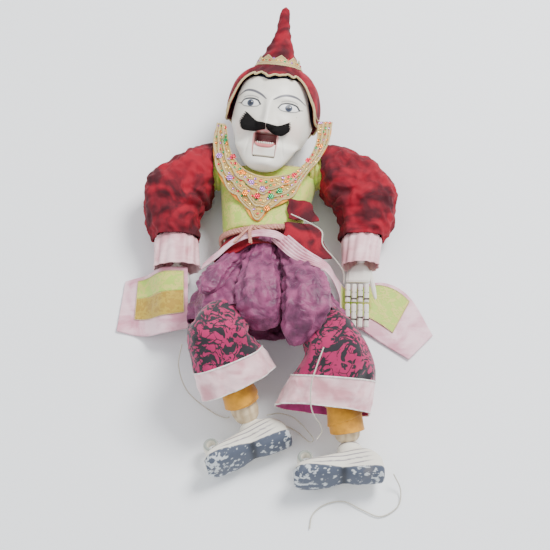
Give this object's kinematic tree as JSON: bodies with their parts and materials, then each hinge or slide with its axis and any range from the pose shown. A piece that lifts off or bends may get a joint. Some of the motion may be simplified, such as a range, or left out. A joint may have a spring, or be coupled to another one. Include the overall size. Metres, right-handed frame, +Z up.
{
  "type": "marionette puppet",
  "caption": "Carved wooden string puppet with a peaked velvet hat, moustache, open hinged jaw, embroidered bib, dressed jointed limbs and curled shoes, lying on its back.",
  "frame": {"origin": "on the floor, under the middle of the box round the lying puppet without its loose strings", "axes": "+Z is up, +Y runs from the feet to the hat and -X is towards the puppet's right hand; the face looks up"},
  "size_m": [0.319, 0.5336, 0.1041],
  "materials": {
    "wood": "bare carved softwood",
    "face": "ivory painted carved wood",
    "jaw": "pink painted carved wood",
    "tongue": "painted carved wood",
    "hair": "black hair",
    "velvet": "crimson velvet",
    "brocade": "lime green brocade",
    "gold": "gold braid and sequin work",
    "satin": "pale pink satin",
    "taffeta": "crumpled mauve taffeta",
    "print": "magenta cotton with a dark leaf print",
    "stocking": "ochre wrapped cloth",
    "hand": "ivory painted carved wood",
    "shoe": "cream and slate painted carved wood",
    "string": "off-white twisted cotton string",
    "steel": "plain steel pin"
  },
  "bodies": {
    "torso": {"chest_block": "wood", "vest": "brocade", "collar": "gold", "waist_link": "wood"},
    "neck": {"neck_post": "wood"},
    "head_body": {"head": "face", "jaw_pin": "steel", "moustache": "hair", "hat_hood": "velvet", "hat_cone": "velvet", "hat_band": "gold"},
    "jaw_body": {"jaw": "jaw", "tongue": "tongue"},
    "pelvis": {"pelvis_block": "wood", "waist_cloth": "taffeta", "peplum": "velvet", "belt": "satin", "skirt_tail_right": "satin", "skirt_tail_left": "satin", "string_hand_left": "string"},
    "shoulder_right": {"shoulder_link_right": "wood"},
    "arm_right": {"upper_arm_right": "wood", "sleeve_upper_right": "velvet"},
    "fore_right": {"forearm_right": "wood", "sleeve_lower_right": "velvet"},
    "hand_right": {"palm_right": "hand"},
    "fingers_root_right": {"finger_row_root_right": "hand"},
    "fingers_tip_right": {"finger_row_tip_right": "hand"},
    "shoulder_left": {"shoulder_link_left": "wood"},
    "arm_left": {"upper_arm_left": "wood", "sleeve_upper_left": "velvet"},
    "fore_left": {"forearm_left": "wood", "sleeve_lower_left": "velvet"},
    "hand_left": {"palm_left": "hand"},
    "finger_1_root": {"finger_1_root_left": "hand"},
    "finger_1_tip": {"finger_1_tip_left": "hand"},
    "finger_2_root": {"finger_2_root_left": "hand"},
    "finger_2_tip": {"finger_2_tip_left": "hand"},
    "finger_3_root": {"finger_3_root_left": "hand"},
    "finger_3_tip": {"finger_3_tip_left": "hand"},
    "finger_4_root": {"finger_4_root_left": "hand"},
    "finger_4_tip": {"finger_4_tip_left": "hand"},
    "hip_right": {"hip_link_right": "wood"},
    "leg_right": {"thigh_right": "wood", "trouser_upper_right": "print"},
    "shank_right": {"shin_right": "wood", "stocking_right": "stocking", "trouser_lower_right": "print", "string_leg_right": "string"},
    "foot_right": {"shoe_right": "shoe"},
    "hip_left": {"hip_link_left": "wood"},
    "leg_left": {"thigh_left": "wood", "trouser_upper_left": "print"},
    "shank_left": {"shin_left": "wood", "stocking_left": "stocking", "trouser_lower_left": "print", "string_leg_left": "string"},
    "foot_left": {"shoe_left": "shoe", "string_feet": "string", "string_loop_left": "string"}
  },
  "joints": [
    {"name": "neck_turn", "type": "hinge", "parent": "torso", "child": "neck", "pos_m": [-0.0065, 0.10755, 0.0362], "axis": [0, 1, 0], "range_deg": [-30, 30], "deforming": ["collar", "vest"]},
    {"name": "head_nod", "type": "hinge", "parent": "neck", "child": "head_body", "pos_m": [-0.0065, 0.10755, 0.0362], "axis": [0.9888, -0.1452, 0.0353], "range_deg": [-20, 4], "deforming": ["collar", "vest"]},
    {"name": "jaw_hinge", "type": "hinge", "parent": "head_body", "child": "jaw_body", "pos_m": [-0.0091, 0.09459, 0.05568], "axis": [0.9888, -0.1452, 0.0353], "range_deg": [-26, 0]},
    {"name": "waist_bend", "type": "hinge", "parent": "torso", "child": "pelvis", "pos_m": [-0.0115, 0.01155, 0.0324], "axis": [1, 0, 0], "range_deg": [-35, 10], "deforming": ["belt", "collar", "peplum", "vest", "waist_cloth", "skirt_tail_right", "skirt_tail_left", "string_hand_left"]},
    {"name": "shoulder_swing_right", "type": "hinge", "parent": "torso", "child": "shoulder_right", "pos_m": [-0.0595, 0.09355, 0.0324], "axis": [-1, 0, 0], "range_deg": [-20, 120], "deforming": ["sleeve_upper_right", "vest", "collar"]},
    {"name": "shoulder_spread_right", "type": "hinge", "parent": "shoulder_right", "child": "arm_right", "pos_m": [-0.0595, 0.09355, 0.0324], "axis": [0, 0, -1], "range_deg": [-12, 60], "deforming": ["sleeve_upper_right", "sleeve_lower_right", "peplum", "waist_cloth", "skirt_tail_right"]},
    {"name": "elbow_right", "type": "hinge", "parent": "arm_right", "child": "fore_right", "pos_m": [-0.1015, 0.05855, 0.0314], "axis": [-0.9991, -0.0434, 0], "range_deg": [0, 100], "deforming": ["sleeve_upper_right", "sleeve_lower_right"]},
    {"name": "wrist_right", "type": "hinge", "parent": "fore_right", "child": "hand_right", "pos_m": [-0.0985, -0.01045, 0.0264], "axis": [-0.9997, 0.0238, 0], "range_deg": [-45, 45], "deforming": ["sleeve_lower_right", "skirt_tail_right"]},
    {"name": "fingers_root_right", "type": "hinge", "parent": "hand_right", "child": "fingers_root_right", "pos_m": [-0.0985, -0.03945, 0.0194], "axis": [0.9997, -0.0238, 0], "range_deg": [0, 60], "deforming": ["skirt_tail_right"]},
    {"name": "fingers_tip_right", "type": "hinge", "parent": "fingers_root_right", "child": "fingers_tip_right", "pos_m": [-0.09896, -0.0589, 0.01477], "axis": [0.9997, -0.0238, 0], "range_deg": [0, 60], "deforming": ["skirt_tail_right"]},
    {"name": "shoulder_swing_left", "type": "hinge", "parent": "torso", "child": "shoulder_left", "pos_m": [0.0445, 0.09355, 0.0324], "axis": [-1, 0, 0], "range_deg": [-20, 120], "deforming": ["sleeve_upper_left", "vest", "collar", "skirt_tail_left", "string_hand_left"]},
    {"name": "shoulder_spread_left", "type": "hinge", "parent": "shoulder_left", "child": "arm_left", "pos_m": [0.0445, 0.09355, 0.0324], "axis": [0, 0, 1], "range_deg": [-12, 60], "deforming": ["sleeve_upper_left", "sleeve_lower_left", "waist_cloth", "skirt_tail_left", "string_hand_left"]},
    {"name": "elbow_left", "type": "hinge", "parent": "arm_left", "child": "fore_left", "pos_m": [0.0915, 0.05855, 0.0324], "axis": [-0.9983, 0.0579, 0], "range_deg": [0, 100], "deforming": ["sleeve_upper_left", "sleeve_lower_left", "skirt_tail_left", "string_hand_left"]},
    {"name": "wrist_left", "type": "hinge", "parent": "fore_left", "child": "hand_left", "pos_m": [0.0875, -0.01045, 0.0274], "axis": [-0.9997, 0.0244, 0], "range_deg": [-45, 45], "deforming": ["sleeve_lower_left", "skirt_tail_left", "string_hand_left"]},
    {"name": "finger_1_root_left", "type": "hinge", "parent": "hand_left", "child": "finger_1_root", "pos_m": [0.09295, -0.03868, 0.0224], "axis": [0.9997, -0.0244, 0], "range_deg": [0, 60], "deforming": ["skirt_tail_left"]},
    {"name": "finger_1_tip_left", "type": "hinge", "parent": "finger_1_root", "child": "finger_1_tip", "pos_m": [0.09248, -0.05787, 0.01678], "axis": [0.9997, -0.0244, 0], "range_deg": [0, 60], "deforming": ["skirt_tail_left"]},
    {"name": "finger_2_root_left", "type": "hinge", "parent": "hand_left", "child": "finger_2_root", "pos_m": [0.08665, -0.03853, 0.0224], "axis": [0.9997, -0.0244, 0], "range_deg": [0, 60], "deforming": ["skirt_tail_left"]},
    {"name": "finger_2_tip_left", "type": "hinge", "parent": "finger_2_root", "child": "finger_2_tip", "pos_m": [0.08618, -0.05772, 0.01678], "axis": [0.9997, -0.0244, 0], "range_deg": [0, 60], "deforming": ["skirt_tail_left"]},
    {"name": "finger_3_root_left", "type": "hinge", "parent": "hand_left", "child": "finger_3_root", "pos_m": [0.08035, -0.03837, 0.0224], "axis": [0.9997, -0.0244, 0], "range_deg": [0, 60], "deforming": ["skirt_tail_left"]},
    {"name": "finger_3_tip_left", "type": "hinge", "parent": "finger_3_root", "child": "finger_3_tip", "pos_m": [0.07988, -0.05756, 0.01678], "axis": [0.9997, -0.0244, 0], "range_deg": [0, 60], "deforming": ["skirt_tail_left"]},
    {"name": "finger_4_root_left", "type": "hinge", "parent": "hand_left", "child": "finger_4_root", "pos_m": [0.07405, -0.03822, 0.0224], "axis": [0.9997, -0.0244, 0], "range_deg": [0, 60], "deforming": ["skirt_tail_left", "string_hand_left"]},
    {"name": "finger_4_tip_left", "type": "hinge", "parent": "finger_4_root", "child": "finger_4_tip", "pos_m": [0.07358, -0.05741, 0.01678], "axis": [0.9997, -0.0244, 0], "range_deg": [0, 60], "deforming": ["skirt_tail_left"]},
    {"name": "hip_swing_right", "type": "hinge", "parent": "pelvis", "child": "hip_right", "pos_m": [-0.0305, -0.03845, 0.0324], "axis": [-1, 0, 0], "range_deg": [-25, 60], "deforming": ["trouser_upper_right", "trouser_lower_right", "waist_cloth", "string_leg_right", "string_feet"]},
    {"name": "hip_spread_right", "type": "hinge", "parent": "hip_right", "child": "leg_right", "pos_m": [-0.0305, -0.03845, 0.0324], "axis": [0, 0, -1], "range_deg": [-12, 30], "deforming": ["trouser_upper_right", "trouser_lower_right", "trouser_lower_left", "waist_cloth", "string_leg_right", "string_feet"]},
    {"name": "knee_right", "type": "hinge", "parent": "leg_right", "child": "shank_right", "pos_m": [-0.0545, -0.11445, 0.0774], "axis": [0.8913, -0.0131, 0.4532], "range_deg": [-78, 18], "deforming": ["trouser_upper_right", "trouser_lower_right", "trouser_lower_left", "string_leg_right", "string_feet"]},
    {"name": "ankle_right", "type": "hinge", "parent": "shank_right", "child": "foot_right", "pos_m": [-0.0235, -0.18445, 0.0144], "axis": [0.1085, -0.2715, -0.9563], "range_deg": [-24, 24], "deforming": ["string_leg_right", "string_feet"]},
    {"name": "hip_swing_left", "type": "hinge", "parent": "pelvis", "child": "hip_left", "pos_m": [0.0175, -0.03845, 0.0324], "axis": [-1, 0, 0], "range_deg": [-25, 60], "deforming": ["trouser_upper_left", "trouser_lower_left", "waist_cloth", "skirt_tail_left", "string_leg_left", "string_feet", "string_loop_left"]},
    {"name": "hip_spread_left", "type": "hinge", "parent": "hip_left", "child": "leg_left", "pos_m": [0.0175, -0.03845, 0.0324], "axis": [0, 0, 1], "range_deg": [-6, 30], "deforming": ["trouser_upper_left", "trouser_lower_left", "waist_cloth", "skirt_tail_left", "string_leg_left", "string_feet", "string_loop_left"]},
    {"name": "knee_left", "type": "hinge", "parent": "leg_left", "child": "shank_left", "pos_m": [0.0575, -0.11845, 0.0594], "axis": [0.8815, 0.3253, -0.3422], "range_deg": [-46, 50], "deforming": ["trouser_upper_left", "trouser_lower_left", "trouser_lower_right", "string_leg_left", "string_feet", "string_loop_left"]},
    {"name": "ankle_left", "type": "hinge", "parent": "shank_left", "child": "foot_left", "pos_m": [0.0725, -0.20645, 0.0144], "axis": [0.0146, -0.292, -0.9563], "range_deg": [-24, 20], "deforming": ["trouser_lower_left", "string_leg_left", "string_feet", "string_loop_left"]}
  ]
}
